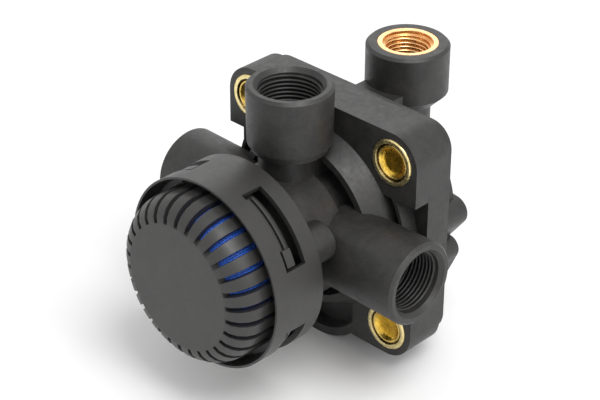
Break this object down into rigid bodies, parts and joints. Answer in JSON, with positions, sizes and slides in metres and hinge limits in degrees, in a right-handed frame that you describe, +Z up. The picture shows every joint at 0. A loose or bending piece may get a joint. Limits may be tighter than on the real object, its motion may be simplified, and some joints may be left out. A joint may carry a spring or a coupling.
{
  "type": "air brake relay valve",
  "caption": "Moulded air brake relay valve with threaded supply, delivery and control ports, a bolted rear cover and a slotted exhaust silencer in a collar.",
  "frame": {"origin": "centre of the rear mounting face, on the valve axis, midway between the two M8 holes", "axes": "+Y out of the mounting face along the valve axis, -Y towards the silencer, +Z up along the supply port, +X to the delivery port at the picture's right"},
  "size_m": [0.1118, 0.1275, 0.1063],
  "materials": {
    "housing_plastic": "glass-filled nylon, mottled satin black",
    "silencer_plastic": "smooth satin black",
    "silencer_mesh": "knitted blue filament",
    "insert_brass": "bright stamped brass",
    "port_brass": "turned brass",
    "screw_steel": "zinc plated",
    "spring_steel": "spring steel",
    "sleeve_aluminium": "turned",
    "inner_plastic": "natural acetal",
    "seal_rubber": "nitrile rubber"
  },
  "bodies": {
    "housing": {"valve_body": "housing_plastic", "rear_cover": "housing_plastic", "cover_seal": "seal_rubber", "control_port_bush": "port_brass", "valve_spring": "spring_steel", "valve_guide": "inner_plastic", "guide_outer_seal": "seal_rubber", "guide_inner_seal": "seal_rubber", "retaining_ring": "spring_steel", "silencer_collar": "silencer_plastic", "silencer_cage": "silencer_plastic", "silencer_element": "silencer_mesh", "mounting_insert_left": "insert_brass", "mounting_insert_right": "insert_brass", "flange_insert_1": "insert_brass", "flange_insert_2": "insert_brass", "flange_insert_3": "insert_brass", "flange_insert_4": "insert_brass", "cover_screw_1": "screw_steel", "cover_screw_2": "screw_steel", "cover_screw_3": "screw_steel", "cover_screw_4": "screw_steel"},
    "piston": {"relay_piston": "inner_plastic", "piston_seal": "seal_rubber"},
    "valve_element": {"valve_rubber": "seal_rubber", "valve_sleeve": "sleeve_aluminium"}
  },
  "joints": [
    {"name": "piston_slide", "type": "slide", "parent": "housing", "child": "piston", "axis": [0, -1, 0], "range_m": [0, 0.003]},
    {"name": "valve_slide", "type": "slide", "parent": "housing", "child": "valve_element", "axis": [0, -1, 0], "range_m": [0, 0.002], "stiffness_N_per_m": 1500, "springref_m": -0.004, "deforming": ["valve_spring"]}
  ],
  "couplings": [
    {"joint": "valve_slide", "follows": "piston_slide", "ratio": 0.6666}
  ]
}
